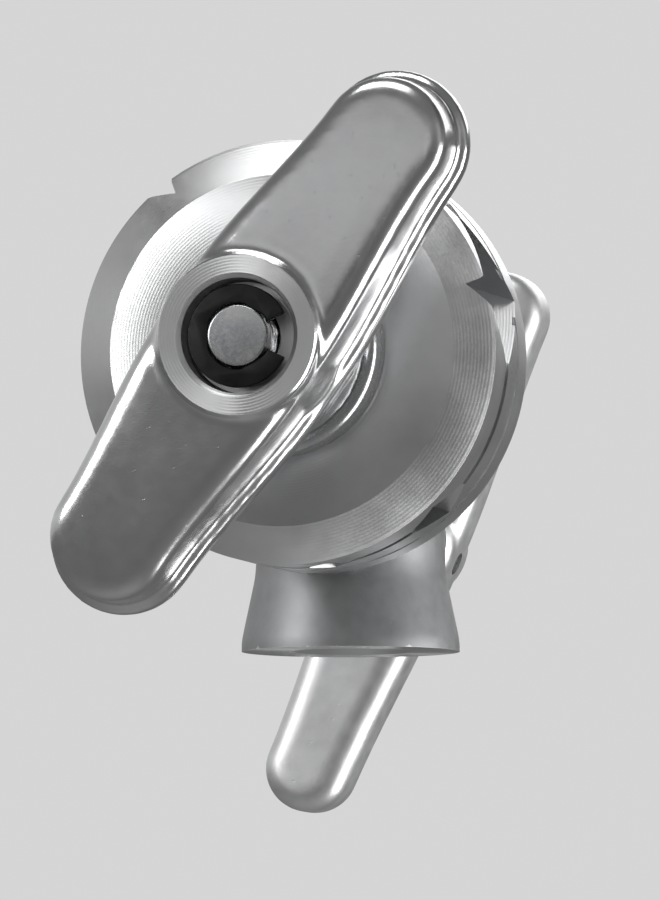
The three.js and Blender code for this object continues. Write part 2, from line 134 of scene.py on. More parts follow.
JAW_RADIUS = radius_of("front_jaw")
JAW_DOME = (15.5, 12)  # starts at this radius, ends at this slope in degrees
JAW_CONE = (5.5, 35)  # width and slope of the chamfer round the dome
CHANNELS = [  # depth, distance from the bolt, turn in degrees
    (9.3, 17.6, 0),
    (7.0, 16.5, 90),
    (4.7, 15.5, 180),
    (3.0, 14.0, 270),
]
RELIEF = (10, 23, 0.8)  # inner and outer radius, depth
RIM_GROOVE = (0.45, 5.6, 6.8)  # depth, start and end in front of the jaw's rear
SPRING_POCKET = (7.5, 6)  # radius, depth
SPRING = (0.6, 6.4, 5.5)  # radius of its wire, radius of its coil, turns
COUNTERBORE = (14.5, 2)  # radius, depth
PIN_PLACES = [(8.2, -8.2), (-7.2, -8.4)]
PIN_RADIUS = 1.5
PIN_DEPTH = 6

ROLLER_COUNT = 8
ROLLER_CIRCLE = 11.1
ROLLER_HALF_LENGTH = 1.9
CAGE = (7.4, 14.1)  # inner and outer radius

HANDLE_WING = (93, 28, 22)  # length, width at the middle and at the ends
HANDLE_TAPER = 0.3  # share of its thickness that the wing loses at its tips
RECESS_RADIUS = 8.5
RECESS_DEPTH = 5.5
NUT_POCKET_DEPTH = 10.6

LOCK_BOSS_RADIUS = 9.5
LOCK_BOSS_END = 24
LOCK_HOLE_RADIUS = 4.3
LOCK_SCREW_RADIUS = 3.9
LOCK_PITCH = 1.25
LOCK_HUB = (33, 47, 8.5)  # start, end, radius
LOCK_WING = (90, 17, 13.5)  # length, width at the middle and at the ends
LOCK_WING_THICKNESS = 12
LOCK_SCREW = (12.3, 43.7)  # start, end
ROLL_PIN = (0.8, 1.5)  # inner and outer radius
PAD = (8.8, 12.0, 3.4)  # start, end, radius


# ---- materials ----

WAVE_RATE = 20  # radians of a wave texture in a metre, at a scale of 1


def shader(name):
    material = bpy.data.materials.new(name)
    material.use_nodes = True
    nodes, links = material.node_tree.nodes, material.node_tree.links
    return material, nodes, links, nodes["Principled BSDF"]


def noise(nodes, links, scale, detail=4, rough=0.55):
    coordinates = nodes.new("ShaderNodeTexCoord")
    texture = nodes.new("ShaderNodeTexNoise")
    texture.inputs["Scale"].default_value = scale
    texture.inputs["Detail"].default_value = detail
    texture.inputs["Roughness"].default_value = rough
    links.new(coordinates.outputs["Object"], texture.inputs["Vector"])
    return texture.outputs["Fac"]


def spread(nodes, links, value, low, high, start=0.3, end=0.7):
    """Maps a value that runs from start to end on to low to high, and holds it there outside."""
    node = nodes.new("ShaderNodeMapRange")
    node.inputs["From Min"].default_value = start
    node.inputs["From Max"].default_value = end
    node.inputs["To Min"].default_value = low
    node.inputs["To Max"].default_value = high
    links.new(value, node.inputs["Value"])
    return node.outputs["Result"]


def tinted(nodes, links, value, dark, light):
    node = nodes.new("ShaderNodeMix")
    node.data_type = "RGBA"
    node.inputs["A"].default_value = (*dark, 1)
    node.inputs["B"].default_value = (*light, 1)
    links.new(value, node.inputs["Factor"])
    return node.outputs["Result"]


def add_bump(nodes, links, height, distance, strength, under=None):
    node = nodes.new("ShaderNodeBump")
    node.inputs["Distance"].default_value = distance
    node.inputs["Strength"].default_value = strength
    links.new(height, node.inputs["Height"])
    if under is not None:
        links.new(under, node.inputs["Normal"])
    return node.outputs["Normal"]


def product(nodes, links, first, second):
    node = nodes.new("ShaderNodeMath")
    node.operation = "MULTIPLY"
    links.new(first, node.inputs[0])
    links.new(second, node.inputs[1])
    return node.outputs["Value"]


def cast_metal(name, dark, light, roughness):
    """Polished casting: slow waves under a fine skin, a few pits, and corners rubbed brighter."""
    material, nodes, links, bsdf = shader(name)
    bsdf.inputs["Metallic"].default_value = 1
    cloud = noise(nodes, links, 55, 2)
    mottle = noise(nodes, links, 420, 4)
    grain = noise(nodes, links, 2400, 4, 0.6)
    pits = spread(nodes, links, noise(nodes, links, 1100, 2), 0, 1, start=0.7, end=0.78)
    edge = nodes.new("ShaderNodeNewGeometry").outputs["Pointiness"]
    wear = spread(nodes, links, edge, 0, 0.8, start=0.54, end=0.62)
    tone = tinted(nodes, links, spread(nodes, links, mottle, 0, 1), dark, light)
    worn = nodes.new("ShaderNodeMix")
    worn.data_type = "RGBA"
    worn.inputs["B"].default_value = (0.9, 0.9, 0.9, 1)
    links.new(tone, worn.inputs["A"])
    links.new(wear, worn.inputs["Factor"])
    links.new(worn.outputs["Result"], bsdf.inputs["Base Color"])
    dull = spread(nodes, links, cloud, roughness * 0.9, roughness * 1.15)
    uneven = spread(nodes, links, mottle, 0.94, 1.08)
    links.new(product(nodes, links, dull, uneven), bsdf.inputs["Roughness"])
    waves = add_bump(nodes, links, mottle, 0.0002, 0.04)
    skin = add_bump(nodes, links, grain, 0.00006, 0.12, waves)
    links.new(add_bump(nodes, links, pits, -0.00006, 0.25, skin), bsdf.inputs["Normal"])
    return material


def turned_metal(name, dark, light, roughness, pitch, centre, axis):
    """Lathe-turned metal with fine tool rings, a pitch apart, round the axis through centre."""
    material, nodes, links, bsdf = shader(name)
    bsdf.inputs["Metallic"].default_value = 1
    bsdf.inputs["Anisotropic"].default_value = 0.75
    coordinates = nodes.new("ShaderNodeTexCoord")
    shift = nodes.new("ShaderNodeMapping")
    shift.inputs["Location"].default_value = [-value for value in centre]
    rings = nodes.new("ShaderNodeTexWave")
    rings.wave_type = "RINGS"
    rings.rings_direction = axis
    rings.inputs["Scale"].default_value = TAU / (WAVE_RATE * pitch)
    rings.inputs["Distortion"].default_value = 0.6
    rings.inputs["Detail"].default_value = 2
    rings.inputs["Detail Scale"].default_value = 0.4
    links.new(coordinates.outputs["Object"], shift.inputs["Vector"])
    links.new(shift.outputs["Vector"], rings.inputs["Vector"])
    tangent = nodes.new("ShaderNodeTangent")
    tangent.direction_type = "RADIAL"
    tangent.axis = axis
    links.new(tangent.outputs["Tangent"], bsdf.inputs["Tangent"])
    cloud = noise(nodes, links, 90, 3)
    scratches = noise(nodes, links, 2600, 3, 0.7)
    tone = tinted(nodes, links, spread(nodes, links, cloud, 0, 1), dark, light)
    links.new(tone, bsdf.inputs["Base Color"])
    dull = spread(nodes, links, cloud, roughness * 0.85, roughness * 1.25)
    uneven = spread(nodes, links, scratches, 0.85, 1.15)
    links.new(product(nodes, links, dull, uneven), bsdf.inputs["Roughness"])
    tool = add_bump(nodes, links, rings.outputs["Fac"], 0.00003, 0.2)
    links.new(add_bump(nodes, links, scratches, 0.00002, 0.2, tool), bsdf.inputs["Normal"])
    return material


def plain_metal(name, dark, light, roughness, grain=1800, metallic=1.0):
    """Plated, ground or drawn metal with a cloudy tone and a fine grain."""
    material, nodes, links, bsdf = shader(name)
    bsdf.inputs["Metallic"].default_value = metallic
    cloud = noise(nodes, links, 260, 3)
    fine = noise(nodes, links, grain, 4, 0.65)
    tone = tinted(nodes, links, spread(nodes, links, cloud, 0, 1), dark, light)
    links.new(tone, bsdf.inputs["Base Color"])
    dull = spread(nodes, links, fine, roughness * 0.8, roughness * 1.3)
    links.new(dull, bsdf.inputs["Roughness"])
    links.new(add_bump(nodes, links, fine, 0.00004, 0.2), bsdf.inputs["Normal"])
    return material


ON_BOLT = (0, 0, BOLT_HEIGHT * MM)
ON_SOCKET = (0, 0, 0)
CAST = cast_metal("cast_silver", (0.7, 0.705, 0.71), (0.75, 0.755, 0.76), 0.2)
BLASTED = cast_metal("blasted_silver", (0.38, 0.385, 0.39), (0.45, 0.455, 0.46), 0.52)
SATIN = cast_metal("satin_silver", (0.82, 0.825, 0.83), (0.9, 0.905, 0.91), 0.42)
TURNED = turned_metal(
    "turned_silver", (0.72, 0.725, 0.73), (0.84, 0.845, 0.85), 0.36, 0.00045, ON_BOLT, "Y")
BORED = turned_metal(
    "bored_silver", (0.62, 0.625, 0.63), (0.74, 0.745, 0.75), 0.33, 0.0004, ON_SOCKET, "Z")
ZINC = plain_metal("bright_zinc", (0.56, 0.58, 0.6), (0.72, 0.72, 0.71), 0.24)
WIRE = plain_metal("spring_wire", (0.4, 0.41, 0.42), (0.56, 0.56, 0.57), 0.3)
GROUND = plain_metal("ground_steel", (0.52, 0.53, 0.55), (0.64, 0.65, 0.66), 0.18, 3200)
BLACK = plain_metal("black_oxide", (0.008, 0.008, 0.009), (0.022, 0.022, 0.024), 0.4, 1600, 0.5)
BRASS = plain_metal("turned_brass", (0.68, 0.48, 0.17), (0.82, 0.62, 0.28), 0.26)


# ---- mesh tools ----


def object_of(bm, material):
    """An object from a bmesh, with doubled points merged and every face turned outwards."""
    bmesh.ops.remove_doubles(bm, verts=bm.verts, dist=1e-5)
    bmesh.ops.recalc_face_normals(bm, faces=bm.faces)
    mesh = bpy.data.meshes.new("shape")
    bm.to_mesh(mesh)
    bm.free()
    mesh.materials.append(material)
    made = bpy.data.objects.new("shape", mesh)
    bpy.context.scene.collection.objects.link(made)
    return made


def loft(rings, material, closed_on_itself=False, mirrored=False):
    """Joins rings of points, each ring a list of (x, y, z) or a single point on the axis.
    A mirrored ring starts on its line of symmetry, and strips across that line close the ends."""
    bm = bmesh.new()
    loops = [[bm.verts.new(point) for point in ring] for ring in rings]
    pairs = list(zip(loops, loops[1:]))
    if closed_on_itself:
        pairs.append((loops[-1], loops[0]))
    for lower, upper in pairs:
        count = max(len(lower), len(upper))
        for i in range(count):
            j = (i + 1) % count
            corners = [lower[i % len(lower)], lower[j % len(lower)],
                       upper[j % len(upper)], upper[i % len(upper)]]
            bm.faces.new(list(dict.fromkeys(corners)))
    if not closed_on_itself:
        for loop in (loops[0], loops[-1]):
            if mirrored:
                for i in range(len(loop) // 2):
                    strip = [loop[i], loop[i + 1], loop[-i - 1], loop[-i]]
                    bm.faces.new(list(dict.fromkeys(strip)))
            elif len(loop) > 2:
                bm.faces.new(loop)
    return object_of(bm, material)


def circle(radius, z, segments):
    if radius < 1e-6:
        return [(0, 0, z)]
    return [(radius * math.cos(TAU * i / segments), radius * math.sin(TAU * i / segments), z)
            for i in range(segments)]


def lathe(outline, material, segments=128, hollow=False):
    """Turns (radius, z) points about Z. A hollow ring's outline closes on itself."""
    return loft([circle(r, z, segments) for r, z in outline], material, hollow)


def rod(radius, bottom, top, material, segments=64):
    return lathe([(0, bottom), (radius, bottom), (radius, top), (0, top)], material, segments)


def tube(inner, outer, bottom, top, material, segments=96):
    outline = [(inner, bottom), (outer, bottom), (outer, top), (inner, top)]
    return lathe(outline, material, segments, hollow=True)


def round_edge(radius, top, size, steps=8):
    """Quarter circle from a disc's side to its upper face."""
    angles = [i / steps * math.pi / 2 for i in range(steps + 1)]
    return [(radius - size * (1 - math.cos(a)), top - size * (1 - math.sin(a))) for a in angles]


def domed_face(radius, top, dome, cone, rim=0.5, steps=16):
    """Points from a disc's side over a wide chamfer to a face that domes up to the dome's start."""
    start, tilt = dome[0], math.radians(dome[1])
    sweep = (radius - cone[0] - start) / math.sin(tilt)
    outer = top - sweep * (1 - math.cos(tilt)) - (cone[0] - rim) * math.tan(math.radians(cone[1]))
    face = [tilt * (1 - i / steps) for i in range(steps + 1)]
    return ([(radius, outer - rim), (radius - rim, outer)]
            + [(start + sweep * math.sin(a), top - sweep * (1 - math.cos(a))) for a in face])


def prism(points, bottom, top, material):
    return loft([[(x, y, bottom) for x, y in points], [(x, y, top) for x, y in points]], material)


def hexagon(across_flats):
    radius = across_flats / math.sqrt(3)
    return [(radius * math.cos(TAU * i / 6), radius * math.sin(TAU * i / 6)) for i in range(6)]


def oblong(length, width, end_width, steps=24):
    """Outline from its tip on X, with round ends and sides that swell to the full width."""
    radius = end_width / 2
    reach = length / 2 - radius
    swell = width / 2 - radius
    quarter = [(radius * math.cos(a), radius * math.sin(a))
               for a in (math.pi / 2 * i / steps for i in range(steps + 1))]
    side = [reach * (1 - 2 * i / steps) for i in range(1, steps)]
    upper = [(reach + x, y) for x, y in quarter]
    upper += [(x, radius + swell * (1 - (x / reach) ** 2) ** 2) for x in side]
    upper += [(-reach - x, y) for x, y in reversed(quarter)]
    return upper + [(x, -y) for x, y in reversed(upper[1:-1])]


def set_in(shape, matrix):
    shape.data.transform(matrix)
    return shape


def apply_modifiers(shape):
    graph = bpy.context.evaluated_depsgraph_get()
    made = bpy.data.meshes.new_from_object(shape.evaluated_get(graph))
    shape.modifiers.clear()
    shape.data = made
    return shape


def carve(shape, *tools, how="DIFFERENCE"):
    """Cuts with each tool in turn. New faces keep the tool's material."""
    for tool in tools:
        modifier = shape.modifiers.new("carve", "BOOLEAN")
        modifier.operation = how
        modifier.object = tool
        modifier.solver = "EXACT"
        modifier.material_mode = "TRANSFER"
        apply_modifiers(shape)
        bpy.data.objects.remove(tool)
    return shape


def fuse(shapes, voxel, passes):
    """One casting from overlapping shapes, with its inner corners filled and outer edges eased."""
    whole = shapes[0]
    bm = bmesh.new()
    for shape in shapes:
        bm.from_mesh(shape.data)
    bm.to_mesh(whole.data)
    bm.free()
    for shape in shapes[1:]:
        bpy.data.objects.remove(shape)
    remesh = whole.modifiers.new("skin", "REMESH")
    remesh.mode = "VOXEL"
    remesh.voxel_size = voxel
    ease = whole.modifiers.new("ease", "SMOOTH")
    ease.factor = 0.5
    ease.iterations = passes
    return apply_modifiers(whole)


def soften(shape, width, segments=3, from_angle=32):
    bevel = shape.modifiers.new("soften", "BEVEL")
    bevel.width = width
    bevel.segments = segments
    bevel.limit_method = "ANGLE"
    bevel.angle_limit = math.radians(from_angle)
    return apply_modifiers(shape)


def threaded(radius, pitch, bottom, top, material, lead=1.0, segments=48, rows=10):
    """A right-handed screw thread as one closed rod, with a chamfer as long as lead at each end.
    The profile has a flat crest, sloping flanks and a flat root."""
    depth = 0.6 * pitch
    count = round((top - bottom) / pitch * rows)
    rings = [[(0, 0, bottom)]]
    for row in range(count + 1):
        z = bottom + (top - bottom) * row / count
        ring = []
        for i in range(segments):
            turn = i / segments
            phase = (z / pitch - turn) % 1
            groove = min(1, max(0, 1.25 - abs(phase - 0.5) * 3.2))
            chamfer = max(0, lead - min(z - bottom, top - z)) * 0.8
            r = radius - max(depth * groove, chamfer)
            ring.append((r * math.cos(TAU * turn), r * math.sin(TAU * turn), z))
        rings.append(ring)
    return loft(rings + [[(0, 0, top)]], material)


def finish_piece(shape, name, node, body, matrix):
    """Sets a shape into the frame as the piece that stands for a CAD node."""
    set_in(shape, matrix)
    shape.name = name
    shape.data.name = name
    for face in shape.data.polygons:
        face.use_smooth = True
    shape.data.set_sharp_from_angle(angle=math.radians(34))
    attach(shape, body)
    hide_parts(node)
    return shape


# ---- the casting with the stud socket ----


def socket_casting():
    column = lathe(
        [(0, -1.5), (COLLAR_RADIUS, -1.5), (COLLAR_RADIUS, 1.4), (COLLAR_RADIUS - 0.3, 3),
         (COLUMN_RADIUS + 0.2, COLLAR_HEIGHT), (COLUMN_RADIUS, COLLAR_HEIGHT + 2)]
        + round_edge(COLUMN_RADIUS, COLUMN_TOP, 7) + [(0, COLUMN_TOP)], BLASTED)
    rear_edge = [(r, 2 * BOSS_REAR - z)
                 for r, z in reversed(round_edge(BOSS_RADIUS, BOSS_REAR, 2.5))]
    flare = [(BOSS_RADIUS, 3), (BOSS_RADIUS + 1, 6), (BOSS_RADIUS + 3.5, 9.5),
             (BOSS_RADIUS + 8, 12.3)]
    plate = [(PLATE_RADIUS - 2, PLATE_REAR), (PLATE_RADIUS + 0.4, PLATE_REAR + 1.6),
             (PLATE_RADIUS + 0.6, PLATE_REAR + 3), (PLATE_RADIUS + 0.6, PLATE_FRONT + 1),
             (0, PLATE_FRONT + 1)]
    boss = lathe([(0, BOSS_REAR)] + rear_edge + flare + plate, BLASTED)
    set_in(boss, UPRIGHT.inverted() @ BOLT)
    rib = prism([(0, RIB_BOTTOM), (COLUMN_RADIUS, RIB_BOTTOM), (PLATE_FRONT - 1, RIB_BOTTOM + 4),
                 (PLATE_FRONT - 1, RIB_TOP), (0, RIB_TOP)], -RIB_WIDTH / 2, RIB_WIDTH / 2, BLASTED)
    set_in(rib, Matrix(((0, 0, 1, 0), (-1, 0, 0, 0), (0, 1, 0, 0), (0, 0, 0, 1))))
    lock_boss = lathe([(0, 0), (LOCK_BOSS_RADIUS + 0.5, 6), (LOCK_BOSS_RADIUS, LOCK_BOSS_END + 1),
                       (0, LOCK_BOSS_END + 1)], BLASTED)
    set_in(lock_boss, UPRIGHT.inverted() @ LOCK)
    casting = fuse([column, boss, rib, lock_boss], voxel=0.5, passes=10)

    on_bolt = [
        tube(PLATE_RADIUS, PLATE_RADIUS + 4, PLATE_REAR + 2.5, PLATE_FRONT + 3, TURNED, 160),
        rod(PLATE_RADIUS + 6, PLATE_FRONT, PLATE_FRONT + 4, TURNED, 128),
        lathe([(PLATE_RADIUS - 0.6, PLATE_FRONT + 0.1), (PLATE_RADIUS + 0.2, PLATE_FRONT - 0.8),
               (PLATE_RADIUS + 2, PLATE_FRONT + 0.1)], TURNED, 160, hollow=True),
        rod(12.5, BOSS_REAR - PAST, BOSS_REAR + 0.5, TURNED),
        rod(BOLT_HOLE_RADIUS, BOSS_REAR - 3, PLATE_FRONT + 3, TURNED),
        prism(hexagon(HEX_ACROSS_FLATS + 2 * SLACK), BOSS_REAR - 3,
              BOSS_REAR + HEAD_POCKET_DEPTH, TURNED),
    ]
    for tool in on_bolt:
        set_in(tool, UPRIGHT.inverted() @ BOLT)
    bore = lathe([(0, -4), (STUD_BORE_RADIUS + 5.2, -4), (STUD_BORE_RADIUS, 1.2),
                  (STUD_BORE_RADIUS, STUD_BORE_DEPTH - 2), (0, STUD_BORE_DEPTH)], BORED)
    mouth = rod(COLLAR_RADIUS + 8, -5, 0, BORED)
    on_lock = [
        rod(LOCK_BOSS_RADIUS + 2.5, LOCK_BOSS_END, LOCK_BOSS_END + 4, BORED),
        lathe([(0, 4), (LOCK_HOLE_RADIUS, 4), (LOCK_HOLE_RADIUS, LOCK_BOSS_END - 0.8),
               (LOCK_HOLE_RADIUS + 2.8, LOCK_BOSS_END + 2), (0, LOCK_BOSS_END + 2)], BORED),
    ]
    for tool in on_lock:
        set_in(tool, UPRIGHT.inverted() @ LOCK)
    carve(casting, *on_bolt, mouth, bore, *on_lock)
    return finish_piece(casting, "socket_casting", "base_casting", "base", UPRIGHT)


# ---- jaws ----


def channel_tools(face, into):
    """V-shaped tools for the four channels, sunk from z = face in the direction of into."""
    tools = []
    for depth, offset, turn in CHANNELS:
        section = [(-depth - PAST, -PAST), (0, depth), (depth + PAST, -PAST)]
        rings = [[(x, offset + across, face + into * down) for across, down in section]
                 for x in (-JAW_RADIUS - 4, JAW_RADIUS + 4)]
        tools.append(set_in(loft(rings, TURNED), Matrix.Rotation(math.radians(turn), 4, "Z")))
    return tools


def pin_tools(bottom, top):
    return [set_in(rod(PIN_RADIUS + SLACK, bottom, top, TURNED, 32), Matrix.Translation((x, y, 0)))
            for x, y in PIN_PLACES]


def inner_jaw():
    rear, front = forward_span("middle_jaw")
    pocket_radius, pocket_depth = SPRING_POCKET
    relief_inner, relief_outer, relief_depth = RELIEF
    groove_depth, groove_start, groove_end = RIM_GROOVE
    disc = rod(JAW_RADIUS, rear, front, TURNED, 160)
    tools = channel_tools(front, -1) + [
        rod(BOLT_HOLE_RADIUS, rear - PAST, front + PAST, TURNED),
        rod(pocket_radius, front - pocket_depth, front + PAST, TURNED),
        tube(relief_inner, relief_outer, rear - PAST, rear + relief_depth, TURNED),
        tube(JAW_RADIUS - groove_depth, JAW_RADIUS + PAST, rear + groove_start, rear + groove_end,
             TURNED, 160),
    ] + pin_tools(front - PIN_DEPTH, front + PAST)
    soften(carve(disc, *tools), 0.45)
    return finish_piece(disc, "inner_jaw", "middle_jaw", "jaw_set", JAWS)


def outer_jaw():
    rear, front = forward_span("front_jaw")
    pocket_radius, pocket_depth = SPRING_POCKET
    bore_radius, bore_depth = COUNTERBORE
    outline = [(0, rear), (JAW_RADIUS, rear)]
    outline += domed_face(JAW_RADIUS, front, JAW_DOME, JAW_CONE) + [(0, front)]
    disc = lathe(outline, TURNED, 160)
    tools = channel_tools(rear, 1) + [
        rod(BOLT_HOLE_RADIUS, rear - PAST, front + PAST, TURNED),
        rod(pocket_radius, rear - PAST, rear + pocket_depth, TURNED),
        rod(bore_radius, front - bore_depth, front + PAST, TURNED, 96),
    ] + pin_tools(rear - PAST, rear + PIN_DEPTH)
    soften(carve(disc, *tools), 0.45, from_angle=18)
    return finish_piece(disc, "outer_jaw_disc", "front_jaw", "outer_jaw", JAWS)


def dowel(i):
    node = f"alignment_pin_{i + 1}"
    bottom, top = forward_span(node)
    pin = lathe([(0, bottom), (PIN_RADIUS - 0.3, bottom), (PIN_RADIUS, bottom + 0.4)]
                + round_edge(PIN_RADIUS, top, 0.6) + [(0, top)], ZINC, 32)
    set_in(pin, Matrix.Translation((*PIN_PLACES[i], 0)))
    return finish_piece(pin, f"dowel_{i + 1}", node, "jaw_set", JAWS)


def coil_spring():
    """Wire coil with a closed turn at each end."""
    bottom, top = forward_span("jaw_spring")
    wire, mean, turns = SPRING
    sides = 10
    low, high = bottom + wire, top - wire
    steps = round(turns * 40)
    closed = 1 / turns  # share of the coil that each closed turn takes
    lift = 2.5 * wire  # along the axis, over a closed turn
    rings = []
    for step in range(steps + 1):
        t = step / steps
        rise = min(1, max(0, (t - closed) / (1 - 2 * closed)))
        z = low + min(t, closed) / closed * lift + rise * (high - low - 2 * lift)
        z += max(0, t - 1 + closed) / closed * lift
        angle = TAU * turns * t
        out = Vector((math.cos(angle), math.sin(angle), 0))
        middle = out * mean + Vector((0, 0, z))
        rings.append([tuple(middle + wire * (math.cos(TAU * i / sides) * out
                                             + math.sin(TAU * i / sides) * Vector((0, 0, 1))))
                      for i in range(sides)])
    spring = loft(rings, WIRE)
    return finish_piece(spring, "coil_spring", "jaw_spring", "jaw_set", JAWS)


# ---- bolt, clip and thrust bearing ----


def cross_bolt():
    rear, front = forward_span("main_bolt")
    clip_rear, clip_front = forward_span("retaining_clip")
    head_front = BOSS_REAR + HEAD_POCKET_DEPTH - SLACK
    corner = HEX_ACROSS_FLATS / math.sqrt(3)
    head = prism(hexagon(HEX_ACROSS_FLATS), rear, head_front, ZINC)
    limit = lathe([(0, rear), (corner - 1.7, rear), (corner + 0.1, rear + 1),
                   (corner + 0.1, head_front), (0, head_front)], ZINC)
    carve(head, limit, how="INTERSECT")
    mark = lathe([(4.4, rear - 0.2), (5.0, rear + 0.25), (5.6, rear - 0.2)], ZINC, 64, hollow=True)
    shank = rod(BOLT_RADIUS, head_front - 0.5, BOLT_THREAD_START + 0.5, ZINC)
    thread = threaded(BOLT_RADIUS, BOLT_PITCH, BOLT_THREAD_START, clip_rear - SLACK, ZINC, lead=0.4)
    waist = rod(CLIP[0] - SLACK, clip_rear - 0.8, clip_front + 0.4, ZINC)
    tip = lathe([(0, clip_front + 0.25), (BOLT_RADIUS - 0.4, clip_front + 0.25)]
                + round_edge(BOLT_RADIUS - 0.4, front, 0.35) + [(0, front)], ZINC)
    carve(head, mark)
    carve(head, shank, thread, waist, tip, how="UNION")
    return finish_piece(head, "cross_bolt", "main_bolt", "base", BOLT)


def c_clip():
    """Open ring with three rounded inner lobes that grip the bolt's groove."""
    rear, front = forward_span("retaining_clip")
    inner, outer = CLIP
    half_opening, lobe_height, steps = math.radians(25), 0.5, 64
    angles = [half_opening + (TAU - 2 * half_opening) * i / steps for i in range(steps + 1)]
    points = [(outer * math.cos(a), outer * math.sin(a)) for a in angles]
    for a in reversed(angles):
        r = inner + lobe_height * (1 - max(0, -math.cos(3 * a)) ** 2)
        points.append((r * math.cos(a), r * math.sin(a)))
    clip = soften(prism(points, rear, front, BLACK), 0.18)
    return finish_piece(clip, "c_clip", "retaining_clip", "base", BOLT)


def washer(node, body):
    rear, front = forward_span(node)
    ring = soften(tube(BOLT_HOLE_RADIUS + 0.2, radius_of(node), rear, front, GROUND), 0.2)
    return finish_piece(ring, node + "_ring", node, body, BOLT)


def roller_place(i, height):
    """The i-th place on the rollers' circle, with X pointing outwards."""
    turn = Matrix.Rotation(TAU * i / ROLLER_COUNT, 4, "Z")
    return turn @ Matrix.Translation((ROLLER_CIRCLE, 0, height))


def roller_cage():
    rear, front = forward_span("bearing_cage")
    cage = tube(*CAGE, rear, front, BRASS)
    x, y = ROLLER_HALF_LENGTH + SLACK, 1.8
    window = [(-x, -y), (x, -y), (x, y), (-x, y)]
    for i in range(ROLLER_COUNT):
        carve(cage, set_in(prism(window, rear - 1, front + 1, BRASS), roller_place(i, 0)))
    soften(cage, 0.15, 2)
    return finish_piece(cage, "roller_cage", "bearing_cage", "bearing", BOLT)


def roller(i):
    rear, front = forward_span("thrust_roller_1")
    radius, half = (front - rear) / 2, ROLLER_HALF_LENGTH
    end = round_edge(radius, half, 0.3, 4)
    outline = [(0, -half)] + [(r, -z) for r, z in reversed(end)] + end + [(0, half)]
    shape = lathe(outline, GROUND, 32)
    set_in(shape, roller_place(i, (rear + front) / 2) @ Matrix.Rotation(math.pi / 2, 4, "Y"))
    return finish_piece(
        shape, f"roller_{i + 1}", f"thrust_roller_{i + 1}", "bearing", BOLT)


def pressed_cover():
    rear, front = forward_span("bearing_cover")
    outer = radius_of("bearing_cover")
    inner, inside = outer - 1.3, front - 1.4
    hole = BOLT_HOLE_RADIUS + 0.4
    lining = [(hole, inside), (inner - 1, inside), (inner, inside - 1), (inner, rear)]
    rim = [(inner + 0.3, rear), (outer - 0.2, rear), (outer, rear + 0.3)]
    outline = lining + rim + round_edge(outer, front, 1.4) + [(hole, front)]
    cup = lathe(outline, ZINC, 128, hollow=True)
    return finish_piece(cup, "pressed_cover", "bearing_cover", "handle", BOLT)


# ---- handles ----


def wing_shape(length, width, end_width, levels, material, taper=0.0):
    """A wing through (inset, z) levels, whose thickness shrinks by the taper towards its tips."""
    rear = levels[0][1]
    rings = []
    for inset, z in levels:
        outline = oblong(length - 2 * inset, width - 2 * inset, end_width - 2 * inset)
        rings.append([(x, y, rear + (z - rear) * (1 - taper * (2 * x / length) ** 2))
                      for x, y in outline])
    return loft(rings, material, mirrored=True)


def t_handle():
    rear, front = forward_span("t_handle")
    base = front - 17.5
    flange = [(1.0, base), (0.3, base + 0.5), (0, base + 1.4), (0, base + 4.2), (0.3, base + 4.8),
              (1.1, base + 5.1), (1.4, base + 5.8)]
    side, shoulder, edge = 1.7, base + 13.2, 3.2
    rounded = [(side + edge * (1 - math.cos(a)), shoulder + edge * math.sin(a))
               for a in (math.pi / 2 * i / 8 for i in range(9))]
    crown = [(8, base + 16.5)]
    wing = wing_shape(*HANDLE_WING, flange + rounded + crown, CAST, HANDLE_TAPER)
    hub_radius, hub_front = 12.2, front + 0.6
    hub = lathe([(0, rear - 1), (14.2, rear - 1), (14.6, rear + 0.6), (13.8, rear + 5),
                 (12.8, base + 9), (hub_radius, front - 3)]
                + round_edge(hub_radius, hub_front, 1.6) + [(0, hub_front)], CAST)
    handle = fuse([wing, hub], voxel=0.5, passes=7)
    carve(
        handle,
        rod(20, rear - 4, rear, TURNED, 96),
        rod(14.5, front, front + 4, TURNED, 96),
        prism(hexagon(HEX_ACROSS_FLATS + 2 * SLACK), rear - PAST, rear + NUT_POCKET_DEPTH, TURNED),
        rod(BOLT_HOLE_RADIUS, rear, front + PAST, TURNED),
        lathe([(0, front - RECESS_DEPTH), (RECESS_RADIUS - 0.3, front - RECESS_DEPTH),
               (RECESS_RADIUS, front - RECESS_DEPTH + 0.3), (RECESS_RADIUS, front - 0.7),
               (RECESS_RADIUS + 1.7, front + 1), (0, front + 1)], TURNED, 96),
    )
    return finish_piece(handle, "oblong_handle", "t_handle", "handle", HANDLE)


def insert_nut():
    rear, front = forward_span("handle_nut")
    nut = prism(hexagon(HEX_ACROSS_FLATS), rear, front, ZINC)
    carve(nut, rod(BOLT_RADIUS + SLACK, rear - 1, front + 1, ZINC))
    soften(nut, 0.3)
    return finish_piece(nut, "insert_nut", "handle_nut", "handle", HANDLE)


def across_hub():
    """The roll pin's place, through the middle of the lock's hub."""
    start, end, _ = LOCK_HUB
    return Matrix.Translation((0, 0, (start + end) / 2)) @ Matrix.Rotation(math.pi / 2, 4, "X")


